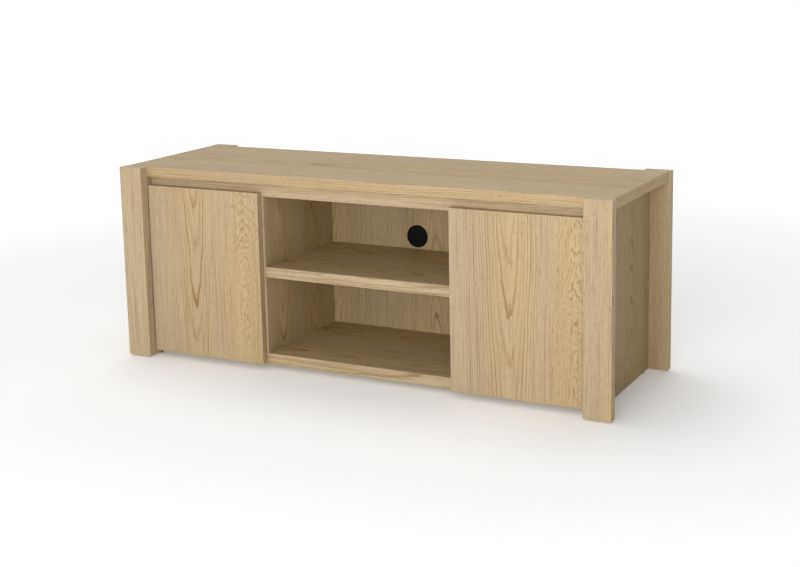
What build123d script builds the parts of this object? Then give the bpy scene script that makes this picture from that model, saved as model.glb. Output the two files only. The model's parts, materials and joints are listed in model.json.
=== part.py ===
"""Media cabinet: a flat-pack oak-veneered low cabinet with two hinged doors and an open centre bay.

Units are millimetres. The origin is on the floor under the middle of the cabinet,
X runs along its length, -Y is the front with the doors and +Z is up.
Everything on the +X side is drawn first and the -X side is its mirror image.
"""
from collections import namedtuple
import os

from build123d import *

os.makedirs("parts", exist_ok=True)

# ---------------------------------------------------------------- driving dimensions
WIDTH = 1200.0
DEPTH = 400.0
LEG_HEIGHT = 450.0
GLIDE_HEIGHT = 3.0
LEG_WIDTH = 60.0
LEG_THICKNESS = 22.0
BOARD = 15.0
THICK_BOARD = 24.0
TOP_THICKNESS = 22.0
TOP_END_INSET = 3.0
EDGE_BREAK = 0.6
PARTITION_INNER = 232.0
DOOR_THICKNESS = 16.0
DOOR_GAP = 3.0
DOOR_REVEAL = 2.0
DOOR_OVERLAY = 11.0
FINGER_GROOVE = 21.0
RAIL_HEIGHT = 31.0
BOTTOM_RISE = 10.0
DOOR_RISE = 12.0
CENTRE_SHELF_RISE = 211.5
BACK_INSET = 36.0
BACK_THICKNESS = 9.0
GROOVE_DEPTH = 5.0
BACK_PLAY = 0.5
FIT = 0.1

# levels and planes worked out from them
FLOOR_LEVEL = GLIDE_HEIGHT
TOP_LEVEL = FLOOR_LEVEL + LEG_HEIGHT
UNDER_TOP = TOP_LEVEL - TOP_THICKNESS
LEG_INNER = WIDTH / 2 - LEG_WIDTH
LEG_BACK = DEPTH / 2 - LEG_THICKNESS
DOOR_FRONT = -LEG_BACK
CARCASS_FRONT = DOOR_FRONT + DOOR_THICKNESS + DOOR_REVEAL
BACK_FRONT = LEG_BACK - BACK_INSET
BACK_REAR = BACK_FRONT + BACK_THICKNESS
BOTTOM_UNDER = FLOOR_LEVEL + BOTTOM_RISE
BOTTOM_TOP = BOTTOM_UNDER + THICK_BOARD
PARTITION_OUTER = PARTITION_INNER + BOARD
SHELF_UNDER = FLOOR_LEVEL + CENTRE_SHELF_RISE
SHELF_TOP = SHELF_UNDER + THICK_BOARD
RAIL_UNDER = UNDER_TOP - RAIL_HEIGHT
DOOR_BOTTOM = FLOOR_LEVEL + DOOR_RISE
DOOR_TOP = UNDER_TOP - FINGER_GROOVE
DOOR_HINGE_EDGE = LEG_INNER - DOOR_GAP
DOOR_FREE_EDGE = PARTITION_OUTER - DOOR_OVERLAY

# loose shelf behind each door
LOOSE_SHELF_GAP = 1.0
LOOSE_SHELF_FRONT = -130.0
LOOSE_SHELF_REAR = BACK_FRONT - 2.0
LOOSE_SHELF_UNDER = 214.5
PIN_RADIUS = 2.5
PIN_DEPTH = 8.0
PIN_REACH = 9.0
PIN_COLLAR = 1.5
PIN_COLLAR_THICKNESS = 1.0
PIN_ROW_Y = (-95.0, 105.0)
PIN_PITCH = 32.0
PIN_ROWS = (-1, 0, 1)

# joining fittings
CAM_RADIUS = 7.5
CAM_SETBACK = 24.0
CAM_BELOW_BOLT = 4.5
CAM_EDGE_BREAK = 0.5
CAM_POCKET_SPARE = 0.4
CAM_POCKET_REACH = 4.0
DRIVER_SLOT_LENGTH = 8.0
DRIVER_SLOT_WIDTH = 1.5
DRIVER_SLOT_DEPTH = 2.0
BOLT_RADIUS = 3.3
BOLT_NECK_RADIUS = 2.0
BOLT_THREAD_RADIUS = 2.5
BOLT_BITE = 11.0
BOLT_NECK_LENGTH = 4.0
BOLT_TAPER = 1.0
BOLT_HEAD_SHIFT = 1.0
BOLT_HEAD_REACH = 2.0
BOLT_HOLE_RADIUS = 4.0
DOWEL_RADIUS = 4.0
DOWEL_SHORT = 10.0
DOWEL_LONG = 20.0
DOWEL_EDGE_BREAK = 0.8
SCREW_LENGTH = 50.0
SCREW_HEAD_RADIUS = 5.0
SCREW_HEAD_HEIGHT = 3.0
SCREW_SHANK_RADIUS = 3.5
SCREW_THREAD_RADIUS = 2.6
SCREW_POINT_LENGTH = 3.0
SCREW_POINT_RADIUS = 1.0
SOCKET_RADIUS = 2.3
SOCKET_DEPTH = 2.5
BACK_SCREW_RADIUS = 1.75
BACK_SCREW_HEAD_RADIUS = 3.6
BACK_SCREW_HEAD_HEIGHT = 1.8
BACK_SCREW_BITE = 18.0
RAIL_SCREW_BITE = 12.0
# shares of a pan head's height, of its shank's radius and of its head's radius
PAN_ROUNDING = 0.6
PAN_POINT = 0.6
CROSS_DEPTH = 0.6
CROSS_LENGTH = 1.1
CROSS_WIDTH = 0.26
SMALL_HEAD_RADIUS = 3.1
SMALL_HEAD_HEIGHT = 1.5
SMALL_SCREW_LENGTH = 10.0
ARM_SCREW_RADIUS = 2.3
ARM_SCREW_HEAD_RADIUS = 3.4
ARM_SCREW_HEAD_HEIGHT = 1.8
ARM_SCREW_LENGTH = 14.0

# concealed hinge, measured inwards from the side panel and backwards from the door front
HINGE_FROM_END = 80.0
CUP_SETBACK = 24.5
CUP_RADIUS = 17.5
CUP_DEPTH = 11.5
CUP_WALL = 0.9
CUP_FLANGE_RADIUS = 19.0
CUP_FLANGE = 1.0
CUP_EAR_SPREAD = 22.5
CUP_EAR_SHIFT = 6.0
CUP_EAR_RADIUS = 5.0
ARM_PIVOT = (29.5, 21.0)
ARM_WIDTH = 12.0
ARM_SLOT = 6.6
LINK_TIP = (10.0, 8.2)
LINK_MIDDLE = (22.5, 10.4)
LINK_EYE_RADIUS = 2.8
LINK_THICKNESS = 2.2
LINK_WIDTH = 6.0
PIVOT_RADIUS = 1.5
PIVOT_CLEARANCE = 0.05
ARM_REAR = 68.0
ARM_BASE = 8.0
ARM_TOP = 19.0
ARM_CORNERS = ((ARM_TOP, 37.0), (32.9, 26.0), (32.9, 18.2), (26.5, 18.2), (ARM_BASE, 33.0))
ARM_ROUNDING = 2.5
FORK_MIDDLE = (27.0, 20.0)
FORK_CUT = (16.0, 9.0)
ARM_SCREW_PLACE = 60.0
ARM_SCREW_HOLE_RADIUS = 2.4
ADJUSTER_PLACE = 44.0
ADJUSTER_RADIUS = 1.8
ADJUSTER_DEPTH = 4.0
PLATE_SCREW_SPREAD = 16.0
PLATE_SCREW_DEPTH = 53.0
PLATE_SCREW_HOLE = 12.0
PLATE_BLOCK_PLACE = 54.0
PLATE_BLOCK_LENGTH = 26.0
PLATE_BLOCK_WIDTH = 14.0
PLATE_THREAD_DEPTH = 6.0
PLATE_WING = 2.2
PLATE_WING_WIDTH = 13.0
PLATE_WING_OVERHANG = 7.0
CUP_SCREW_HOLE = 11.0

# cable port in the back panel
PORT_LEVEL = 269.0
PORT_FLANGE_RADIUS = 27.0
PORT_TUBE_RADIUS = 24.0
PORT_BORE_RADIUS = 22.0
PORT_FLANGE = 1.6
PORT_TAIL = 6.0
PORT_EDGE_BREAK = 0.8
CAP_RADIUS = 21.6
CAP_THICKNESS = 3.0
CAP_RECESS = 0.8
CAP_SKIRT = 1.6
CAP_KNOCKOUT_LENGTH = 22.0
CAP_KNOCKOUT_HEIGHT = 9.0
CAP_KNOCKOUT_RISE = 11.0
CAP_SCORE = 0.8
CAP_GRIP_HEIGHT = 5.0
CAP_GRIP_DROP = 9.0

# where the fittings stand along each joint, and how far into or above their boards
SIDE_TOP_BOLT_Y = (-95.0, 95.0)
BOTTOM_BOLT_Y = (-110.0, 100.0)
PARTITION_TOP_BOLT_Y = (-80.0, 70.0)
SIDE_TOP_DOWEL_Y = (-140.0, 0.0, 163.0)
BOTTOM_DOWEL_Y = (-140.0, 0.0, 130.0)
PARTITION_TOP_DOWEL_Y = (-120.0, 110.0)
PARTITION_BOTTOM_DOWEL_Y = (-130.0, 115.0)
SHELF_DOWEL_Y = (-135.0, 120.0)
BOTTOM_SCREW_Y = (-100.0, 90.0)
SHELF_SCREW_Y = (-100.0, 85.0)
LEG_BOLT_LEVELS = (150.0, 285.0)
LEG_DOWEL_LEVELS = (60.0, 215.0, 385.0)
TOP_DOWEL_INSET = 22.0
RAIL_BOLT_RISE = 10.0
RAIL_DOWEL_RISE = 24.0
BOTTOM_BOLT_RISE = 9.0
BACK_SCREW_LEVELS = (80.0, 225.0, 370.0)
RAIL_SCREW_X = (80.0, 390.0)
RAIL_SCREW_RISE = 12.0
HOLE_SPARE = 1.0

GLIDE_RADIUS = 7.0
GLIDE_NAIL_RADIUS = 1.5
GLIDE_NAIL_LENGTH = 12.0
GLIDE_Y = 150.0
GLIDE_ROUNDING = 1.2
BUMPER_RADIUS = 4.0
BUMPER_ROUNDING = 0.8
BUMPER_INSET = 5.5
BUMPER_RISE = 45.0
BUMPER_DROP = 30.0

X_IN = (-1, 0, 0)
X_OUT = (1, 0, 0)
Y_FRONT = (0, -1, 0)
Y_REAR = (0, 1, 0)
Z_UP = (0, 0, 1)
Z_DOWN = (0, 0, -1)

# at: bolt axis on the joint face; into: from the receiving board into the panel that
# holds the cam; face: outward side the cam is pressed in from; cover: axis to that face
CamJoint = namedtuple("CamJoint", "at into face cover")
PegJoint = namedtuple("PegJoint", "at into")

SIDE_MIDDLE = LEG_INNER + BOARD / 2
PARTITION_MIDDLE = PARTITION_INNER + BOARD / 2
RAIL_FRONT_MIDDLE = CARCASS_FRONT + BOARD / 2
RAIL_REAR_MIDDLE = BACK_FRONT - BOARD / 2
RAIL_BOLT_LEVEL = RAIL_UNDER + RAIL_BOLT_RISE
RAIL_DOWEL_LEVEL = RAIL_UNDER + RAIL_DOWEL_RISE
BOTTOM_BOLT_LEVEL = BOTTOM_UNDER + BOTTOM_BOLT_RISE
TOP_DOWEL_X = WIDTH / 2 - TOP_DOWEL_INSET
TOP_MIDDLE = UNDER_TOP + TOP_THICKNESS / 2

side_to_top = [
    CamJoint((SIDE_MIDDLE, y, UNDER_TOP), Z_DOWN, X_IN, BOARD / 2) for y in SIDE_TOP_BOLT_Y
]
side_to_front_leg = [
    CamJoint((SIDE_MIDDLE, -LEG_BACK, z), Y_REAR, X_IN, BOARD / 2) for z in LEG_BOLT_LEVELS
]
bottom_to_side = [
    CamJoint((LEG_INNER, y, BOTTOM_BOLT_LEVEL), X_IN, Z_DOWN, BOTTOM_BOLT_LEVEL - BOTTOM_UNDER)
    for y in BOTTOM_BOLT_Y
]
partition_to_top = [
    CamJoint((PARTITION_MIDDLE, y, UNDER_TOP), Z_DOWN, X_OUT, BOARD / 2)
    for y in PARTITION_TOP_BOLT_Y
]
front_rail_to_side = [
    CamJoint((LEG_INNER, RAIL_FRONT_MIDDLE, RAIL_BOLT_LEVEL), X_IN, Y_REAR, BOARD / 2)
]
rear_rail_to_side = [
    CamJoint((LEG_INNER, RAIL_REAR_MIDDLE, RAIL_BOLT_LEVEL), X_IN, Y_FRONT, BOARD / 2)
]

side_top_pegs = [PegJoint((SIDE_MIDDLE, y, UNDER_TOP), Z_DOWN) for y in SIDE_TOP_DOWEL_Y]
front_leg_pegs = [PegJoint((SIDE_MIDDLE, -LEG_BACK, z), Y_REAR) for z in LEG_DOWEL_LEVELS]
rear_leg_pegs = [PegJoint((SIDE_MIDDLE, LEG_BACK, z), Y_FRONT) for z in LEG_DOWEL_LEVELS]
top_front_pegs = [PegJoint((TOP_DOWEL_X, -LEG_BACK, TOP_MIDDLE), Y_REAR)]
top_rear_pegs = [PegJoint((TOP_DOWEL_X, LEG_BACK, TOP_MIDDLE), Y_FRONT)]
bottom_side_pegs = [
    PegJoint((LEG_INNER, y, BOTTOM_UNDER + THICK_BOARD / 2), X_IN) for y in BOTTOM_DOWEL_Y
]
partition_top_pegs = [
    PegJoint((PARTITION_MIDDLE, y, UNDER_TOP), Z_DOWN) for y in PARTITION_TOP_DOWEL_Y
]
partition_bottom_pegs = [
    PegJoint((PARTITION_MIDDLE, y, BOTTOM_TOP), Z_UP) for y in PARTITION_BOTTOM_DOWEL_Y
]
shelf_end_pegs = [
    PegJoint((PARTITION_INNER, y, SHELF_UNDER + THICK_BOARD / 2), X_IN) for y in SHELF_DOWEL_Y
]
front_rail_pegs = [PegJoint((LEG_INNER, RAIL_FRONT_MIDDLE, RAIL_DOWEL_LEVEL), X_IN)]
rear_rail_pegs = [PegJoint((LEG_INNER, RAIL_REAR_MIDDLE, RAIL_DOWEL_LEVEL), X_IN)]

# long panel screws: at is the head's face, into the way the point goes
bottom_screws = [PegJoint((PARTITION_MIDDLE, y, BOTTOM_UNDER), Z_UP) for y in BOTTOM_SCREW_Y]
shelf_screws = [
    PegJoint((PARTITION_OUTER, y, SHELF_UNDER + THICK_BOARD / 2), X_IN) for y in SHELF_SCREW_Y
]
rear_leg_screws = [PegJoint((SIDE_MIDDLE, DEPTH / 2, z), Y_FRONT) for z in LEG_BOLT_LEVELS]
partition_back_screws = [
    PegJoint((PARTITION_MIDDLE, BACK_REAR, z), Y_FRONT) for z in BACK_SCREW_LEVELS
]
rail_back_screws = [
    PegJoint((x, BACK_REAR, RAIL_UNDER + RAIL_SCREW_RISE), Y_FRONT) for x in RAIL_SCREW_X
]


def mirrored(joints):
    """The same joints on the other side of the cabinet."""
    flipped = []
    for joint in joints:
        at = (-joint.at[0], joint.at[1], joint.at[2])
        into = (-joint.into[0], joint.into[1], joint.into[2])
        change = {"at": at, "into": into}
        if isinstance(joint, CamJoint):
            change["face"] = (-joint.face[0], joint.face[1], joint.face[2])
        flipped.append(joint._replace(**change))
    return flipped


def both(joints):
    """Joints on both sides of the cabinet."""
    return joints + mirrored(joints)


def reversed_way(direction):
    """The opposite direction."""
    return tuple(-value for value in direction)


def along(point, direction, distance):
    """A point moved a distance along a direction."""
    return tuple(p + d * distance for p, d in zip(point, direction))


def board(x_span, y_span, z_span):
    """A flat board with its sharp edges taken off."""
    with BuildPart() as blank:
        with BuildSketch(Plane.XY.offset(z_span[0])):
            with Locations((sum(x_span) / 2, sum(y_span) / 2)):
                Rectangle(x_span[1] - x_span[0], y_span[1] - y_span[0])
        extrude(amount=z_span[1] - z_span[0])
        chamfer(blank.edges(), EDGE_BREAK)
    return blank.part


def drill(mouth, direction, radius, depth):
    """Cut one round hole into the piece being built, starting on its face."""
    with Locations(Plane(origin=mouth, z_dir=direction)):
        Cylinder(
            radius,
            depth,
            align=(Align.CENTER, Align.CENTER, Align.MIN),
            mode=Mode.SUBTRACT,
        )


def drill_bolt_seats(joints):
    """Threaded seats for the cam bolts in the receiving board."""
    for joint in joints:
        drill(joint.at, reversed_way(joint.into), BOLT_THREAD_RADIUS + FIT / 2, BOLT_BITE + FIT)


def drill_cam_seats(joints):
    """Edge hole for each bolt and face pocket for each cam."""
    for joint in joints:
        drill(joint.at, joint.into, BOLT_HOLE_RADIUS, CAM_SETBACK)
        centre = along(joint.at, joint.into, CAM_SETBACK)
        mouth = along(centre, joint.face, joint.cover)
        depth = joint.cover + CAM_BELOW_BOLT + FIT
        drill(mouth, reversed_way(joint.face), CAM_RADIUS + FIT / 2, depth)


def drill_short_pegs(joints):
    """Dowel holes in the face of the receiving board."""
    for joint in joints:
        drill(joint.at, reversed_way(joint.into), DOWEL_RADIUS + FIT / 2, DOWEL_SHORT + HOLE_SPARE)


def drill_long_pegs(joints):
    """Dowel holes in the edge of the joining board."""
    for joint in joints:
        drill(joint.at, joint.into, DOWEL_RADIUS + FIT / 2, DOWEL_LONG + HOLE_SPARE)


def drill_screw_heads(joints, thickness):
    """Clearance holes with countersinks for the long panel screws."""
    for joint in joints:
        drill(joint.at, joint.into, SCREW_SHANK_RADIUS + FIT, thickness)
        with Locations(Plane(origin=joint.at, z_dir=joint.into)):
            Cone(
                SCREW_HEAD_RADIUS + FIT,
                SCREW_SHANK_RADIUS + FIT,
                SCREW_HEAD_HEIGHT,
                align=(Align.CENTER, Align.CENTER, Align.MIN),
                mode=Mode.SUBTRACT,
            )


def drill_screw_threads(joints, thickness):
    """Core holes for the long panel screws in the edge they bite into."""
    for joint in joints:
        mouth = along(joint.at, joint.into, thickness)
        depth = SCREW_LENGTH - thickness + HOLE_SPARE
        drill(mouth, joint.into, SCREW_THREAD_RADIUS + FIT / 2, depth)


# ---------------------------------------------------------------- legs
with BuildPart() as leg_front_right:
    add(board((LEG_INNER, WIDTH / 2), (-DEPTH / 2, -LEG_BACK), (FLOOR_LEVEL, TOP_LEVEL)))
    drill_bolt_seats(side_to_front_leg)
    drill_short_pegs(front_leg_pegs + top_front_pegs)
leg_front_right.part.label = "leg_front_right"
export_step(leg_front_right.part, "parts/leg_front_right.step")

with BuildPart() as leg_front_left:
    mirror(leg_front_right.part, about=Plane.YZ)
leg_front_left.part.label = "leg_front_left"
export_step(leg_front_left.part, "parts/leg_front_left.step")

with BuildPart() as leg_rear_right:
    add(board((LEG_INNER, WIDTH / 2), (LEG_BACK, DEPTH / 2), (FLOOR_LEVEL, TOP_LEVEL)))
    drill_screw_heads(rear_leg_screws, LEG_THICKNESS)
    drill_short_pegs(rear_leg_pegs + top_rear_pegs)
leg_rear_right.part.label = "leg_rear_right"
export_step(leg_rear_right.part, "parts/leg_rear_right.step")

with BuildPart() as leg_rear_left:
    mirror(leg_rear_right.part, about=Plane.YZ)
leg_rear_left.part.label = "leg_rear_left"
export_step(leg_rear_left.part, "parts/leg_rear_left.step")

# ---------------------------------------------------------------- top
with BuildPart() as top_panel:
    add(
        board(
            (-WIDTH / 2 + TOP_END_INSET, WIDTH / 2 - TOP_END_INSET),
            (-LEG_BACK, LEG_BACK),
            (UNDER_TOP, TOP_LEVEL),
        )
    )
    drill_bolt_seats(both(side_to_top + partition_to_top))
    drill_short_pegs(both(side_top_pegs + partition_top_pegs))
    drill_long_pegs(both(top_front_pegs + top_rear_pegs))
top_panel.part.label = "top_panel"
export_step(top_panel.part, "parts/top_panel.step")

# ---------------------------------------------------------------- side panels
HINGE_LEVELS = (DOOR_BOTTOM + HINGE_FROM_END, DOOR_TOP - HINGE_FROM_END)
PIN_LEVELS = tuple(LOOSE_SHELF_UNDER - PIN_RADIUS + row * PIN_PITCH for row in PIN_ROWS)

with BuildPart() as side_panel_right:
    add(board((LEG_INNER, LEG_INNER + BOARD), (-LEG_BACK, LEG_BACK), (FLOOR_LEVEL, UNDER_TOP)))
    with BuildSketch(Plane.XY.offset(BOTTOM_TOP)):
        with Locations((LEG_INNER + GROOVE_DEPTH / 2, (BACK_FRONT + BACK_REAR) / 2)):
            Rectangle(GROOVE_DEPTH, BACK_THICKNESS + 2 * FIT)
    extrude(amount=UNDER_TOP - BOTTOM_TOP, mode=Mode.SUBTRACT)
    drill_cam_seats(side_to_top + side_to_front_leg)
    drill_screw_threads(rear_leg_screws, LEG_THICKNESS)
    drill_bolt_seats(bottom_to_side + front_rail_to_side + rear_rail_to_side)
    drill_long_pegs(side_top_pegs + front_leg_pegs + rear_leg_pegs)
    drill_short_pegs(bottom_side_pegs + front_rail_pegs + rear_rail_pegs)
    for pin_y in PIN_ROW_Y:
        for pin_z in PIN_LEVELS:
            drill((LEG_INNER, pin_y, pin_z), X_OUT, PIN_RADIUS + FIT / 2, PIN_DEPTH + HOLE_SPARE)
    for hinge_z in HINGE_LEVELS:
        for step in (-PLATE_SCREW_SPREAD, PLATE_SCREW_SPREAD):
            mouth = (LEG_INNER, DOOR_FRONT + PLATE_SCREW_DEPTH, hinge_z + step)
            drill(mouth, X_OUT, BACK_SCREW_RADIUS + FIT / 2, PLATE_SCREW_HOLE)
    for glide_y in (-GLIDE_Y, GLIDE_Y):
        drill(
            (SIDE_MIDDLE, glide_y, FLOOR_LEVEL),
            Z_UP,
            GLIDE_NAIL_RADIUS + FIT / 2,
            GLIDE_NAIL_LENGTH + HOLE_SPARE,
        )
side_panel_right.part.label = "side_panel_right"
export_step(side_panel_right.part, "parts/side_panel_right.step")

with BuildPart() as side_panel_left:
    mirror(side_panel_right.part, about=Plane.YZ)
side_panel_left.part.label = "side_panel_left"
export_step(side_panel_left.part, "parts/side_panel_left.step")

# ---------------------------------------------------------------- bottom panel
with BuildPart() as bottom_panel:
    add(
        board(
            (-LEG_INNER, LEG_INNER),
            (CARCASS_FRONT, BACK_REAR),
            (BOTTOM_UNDER, BOTTOM_TOP),
        )
    )
    drill_cam_seats(both(bottom_to_side))
    drill_long_pegs(both(bottom_side_pegs))
    drill_short_pegs(both(partition_bottom_pegs))
    drill_screw_heads(both(bottom_screws), THICK_BOARD)
bottom_panel.part.label = "bottom_panel"
export_step(bottom_panel.part, "parts/bottom_panel.step")

# ---------------------------------------------------------------- partitions
with BuildPart() as partition_right:
    add(
        board(
            (PARTITION_INNER, PARTITION_OUTER),
            (CARCASS_FRONT, BACK_FRONT),
            (BOTTOM_TOP, UNDER_TOP),
        )
    )
    # the upper corners are notched so that the two rails run past in one length
    with BuildSketch(Plane.XY.offset(RAIL_UNDER)):
        with Locations((PARTITION_MIDDLE, RAIL_FRONT_MIDDLE), (PARTITION_MIDDLE, RAIL_REAR_MIDDLE)):
            Rectangle(BOARD, BOARD)
    extrude(amount=RAIL_HEIGHT, mode=Mode.SUBTRACT)
    drill_cam_seats(partition_to_top)
    drill_long_pegs(partition_top_pegs + partition_bottom_pegs)
    drill_short_pegs(shelf_end_pegs)
    drill_screw_heads(shelf_screws, BOARD)
    drill_screw_threads(bottom_screws, THICK_BOARD)
    for pin_y in PIN_ROW_Y:
        for pin_z in PIN_LEVELS:
            drill((PARTITION_OUTER, pin_y, pin_z), X_IN, PIN_RADIUS + FIT / 2, PIN_DEPTH + HOLE_SPARE)
    for screw in partition_back_screws:
        mouth = along(screw.at, screw.into, BACK_THICKNESS)
        drill(mouth, screw.into, BACK_SCREW_RADIUS + FIT / 2, BACK_SCREW_BITE + HOLE_SPARE)
partition_right.part.label = "partition_right"
export_step(partition_right.part, "parts/partition_right.step")

with BuildPart() as partition_left:
    mirror(partition_right.part, about=Plane.YZ)
partition_left.part.label = "partition_left"
export_step(partition_left.part, "parts/partition_left.step")

# ---------------------------------------------------------------- fixed centre shelf
with BuildPart() as center_shelf:
    add(
        board(
            (-PARTITION_INNER, PARTITION_INNER),
            (CARCASS_FRONT, BACK_FRONT),
            (SHELF_UNDER, SHELF_TOP),
        )
    )
    drill_long_pegs(both(shelf_end_pegs))
    drill_screw_threads(both(shelf_screws), BOARD)
center_shelf.part.label = "center_shelf"
export_step(center_shelf.part, "parts/center_shelf.step")

# ---------------------------------------------------------------- rails under the top
with BuildPart() as front_rail:
    add(
        board(
            (-LEG_INNER, LEG_INNER),
            (CARCASS_FRONT, CARCASS_FRONT + BOARD),
            (RAIL_UNDER, UNDER_TOP),
        )
    )
    drill_cam_seats(both(front_rail_to_side))
    drill_long_pegs(both(front_rail_pegs))
front_rail.part.label = "front_rail"
export_step(front_rail.part, "parts/front_rail.step")

with BuildPart() as rear_rail:
    add(
        board(
            (-LEG_INNER, LEG_INNER),
            (BACK_FRONT - BOARD, BACK_FRONT),
            (RAIL_UNDER, UNDER_TOP),
        )
    )
    drill_cam_seats(both(rear_rail_to_side))
    drill_long_pegs(both(rear_rail_pegs))
    for screw in both(rail_back_screws):
        mouth = along(screw.at, screw.into, BACK_THICKNESS)
        drill(mouth, screw.into, BACK_SCREW_RADIUS + FIT / 2, RAIL_SCREW_BITE + HOLE_SPARE)
rear_rail.part.label = "rear_rail"
export_step(rear_rail.part, "parts/rear_rail.step")

# ---------------------------------------------------------------- back panel with its cable port
BACK_HALF_WIDTH = LEG_INNER + GROOVE_DEPTH - BACK_PLAY

with BuildPart() as back_panel:
    add(
        board(
            (-BACK_HALF_WIDTH, BACK_HALF_WIDTH),
            (BACK_FRONT, BACK_REAR),
            (BOTTOM_TOP, UNDER_TOP),
        )
    )
    drill((0, BACK_FRONT, PORT_LEVEL), Y_REAR, PORT_TUBE_RADIUS + FIT, BACK_THICKNESS)
    for screw in both(partition_back_screws + rail_back_screws):
        drill(screw.at, screw.into, BACK_SCREW_RADIUS + FIT, BACK_THICKNESS)
back_panel.part.label = "back_panel"
export_step(back_panel.part, "parts/back_panel.step")

port_front = Plane(origin=(0, BACK_FRONT - PORT_FLANGE, PORT_LEVEL), x_dir=X_OUT, z_dir=Y_REAR)

with BuildPart() as port_liner:
    with BuildSketch(port_front):
        Circle(PORT_FLANGE_RADIUS)
    extrude(amount=PORT_FLANGE)
    chamfer(port_liner.edges().filter_by(GeomType.CIRCLE).sort_by(Axis.Y)[0], PORT_EDGE_BREAK)
    with BuildSketch(port_front.offset(PORT_FLANGE)):
        Circle(PORT_TUBE_RADIUS)
    extrude(amount=BACK_THICKNESS + PORT_TAIL)
    with BuildSketch(port_front):
        Circle(PORT_BORE_RADIUS)
    extrude(amount=PORT_FLANGE + BACK_THICKNESS + PORT_TAIL, mode=Mode.SUBTRACT)
port_liner.part.label = "port_liner"
export_step(port_liner.part, "parts/port_liner.step")

with BuildPart() as port_cap:
    with BuildSketch(port_front.offset(CAP_RECESS)):
        Circle(CAP_RADIUS)
    extrude(amount=CAP_THICKNESS)
    # a short skirt behind the disc grips the liner
    with BuildSketch(port_front.offset(CAP_RECESS + CAP_THICKNESS)):
        Circle(CAP_RADIUS)
        Circle(CAP_RADIUS - CAP_SKIRT, mode=Mode.SUBTRACT)
    extrude(amount=CAP_THICKNESS)
    # scored outline of the knock-out for cables
    with BuildSketch(port_front.offset(CAP_RECESS)):
        with Locations((0, -CAP_KNOCKOUT_RISE)):
            SlotOverall(CAP_KNOCKOUT_LENGTH, CAP_KNOCKOUT_HEIGHT)
            SlotOverall(
                CAP_KNOCKOUT_LENGTH - 2 * CAP_SCORE,
                CAP_KNOCKOUT_HEIGHT - 2 * CAP_SCORE,
                mode=Mode.SUBTRACT,
            )
    extrude(amount=CAP_SCORE, mode=Mode.SUBTRACT)
    # finger recess across the lower half
    with BuildSketch(port_front.offset(CAP_RECESS)):
        with Locations((0, CAP_GRIP_DROP)):
            SlotOverall(CAP_KNOCKOUT_LENGTH, CAP_GRIP_HEIGHT)
    extrude(amount=CAP_THICKNESS / 2, mode=Mode.SUBTRACT)
port_cap.part.label = "port_cap"
export_step(port_cap.part, "parts/port_cap.step")

# ---------------------------------------------------------------- loose shelves and their pins
with BuildPart() as loose_shelf_right:
    add(
        board(
            (PARTITION_OUTER + LOOSE_SHELF_GAP, LEG_INNER - LOOSE_SHELF_GAP),
            (LOOSE_SHELF_FRONT, LOOSE_SHELF_REAR),
            (LOOSE_SHELF_UNDER, LOOSE_SHELF_UNDER + BOARD),
        )
    )
loose_shelf_right.part.label = "loose_shelf_right"
export_step(loose_shelf_right.part, "parts/loose_shelf_right.step")

with BuildPart() as loose_shelf_left:
    mirror(loose_shelf_right.part, about=Plane.YZ)
loose_shelf_left.part.label = "loose_shelf_left"
export_step(loose_shelf_left.part, "parts/loose_shelf_left.step")

with BuildPart() as shelf_pins_right:
    for pin_y in PIN_ROW_Y:
        for wall_x, inwards in ((PARTITION_OUTER, X_OUT), (LEG_INNER, X_IN)):
            seat = (wall_x, pin_y, LOOSE_SHELF_UNDER - PIN_RADIUS)
            with Locations(Plane(origin=along(seat, inwards, -PIN_DEPTH), z_dir=inwards)):
                Cylinder(
                    PIN_RADIUS,
                    PIN_DEPTH + PIN_REACH,
                    align=(Align.CENTER, Align.CENTER, Align.MIN),
                )
            with Locations(Plane(origin=seat, z_dir=inwards)):
                Cylinder(
                    PIN_RADIUS + PIN_COLLAR,
                    PIN_COLLAR_THICKNESS,
                    align=(Align.CENTER, Align.CENTER, Align.MIN),
                )
    # the collar is cut level so that the shelf lies on the pins
    with BuildSketch(Plane.XY.offset(LOOSE_SHELF_UNDER)):
        with Locations(((PARTITION_OUTER + LEG_INNER) / 2, 0)):
            Rectangle(2 * LEG_INNER, DEPTH)
    extrude(amount=BOARD, mode=Mode.SUBTRACT)
shelf_pins_right.part.label = "shelf_pins_right"
export_step(shelf_pins_right.part, "parts/shelf_pins_right.step")

with BuildPart() as shelf_pins_left:
    mirror(shelf_pins_right.part, about=Plane.YZ)
shelf_pins_left.part.label = "shelf_pins_left"
export_step(shelf_pins_left.part, "parts/shelf_pins_left.step")

# ---------------------------------------------------------------- doors
CUP_X = LEG_INNER - CUP_SETBACK
CUP_EAR_X = CUP_X - CUP_EAR_SHIFT
DOOR_BACK = DOOR_FRONT + DOOR_THICKNESS

with BuildPart() as door_right:
    add(
        board(
            (DOOR_FREE_EDGE, DOOR_HINGE_EDGE),
            (DOOR_FRONT, DOOR_BACK),
            (DOOR_BOTTOM, DOOR_TOP),
        )
    )
    for hinge_z in HINGE_LEVELS:
        drill((CUP_X, DOOR_BACK, hinge_z), Y_FRONT, CUP_RADIUS + FIT, CUP_DEPTH + FIT)
        for step in (-CUP_EAR_SPREAD, CUP_EAR_SPREAD):
            mouth = (CUP_EAR_X, DOOR_BACK, hinge_z + step)
            drill(mouth, Y_FRONT, BACK_SCREW_RADIUS + FIT / 2, CUP_SCREW_HOLE)
door_right.part.label = "door_right"
export_step(door_right.part, "parts/door_right.step")

with BuildPart() as door_left:
    mirror(door_right.part, about=Plane.YZ)
door_left.part.label = "door_left"
export_step(door_left.part, "parts/door_left.step")

# ---------------------------------------------------------------- concealed hinges
def hinge_point(inwards, backwards):
    """Plan position measured from the right side panel and from the door front."""
    return (LEG_INNER - inwards, DOOR_FRONT + backwards)


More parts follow.
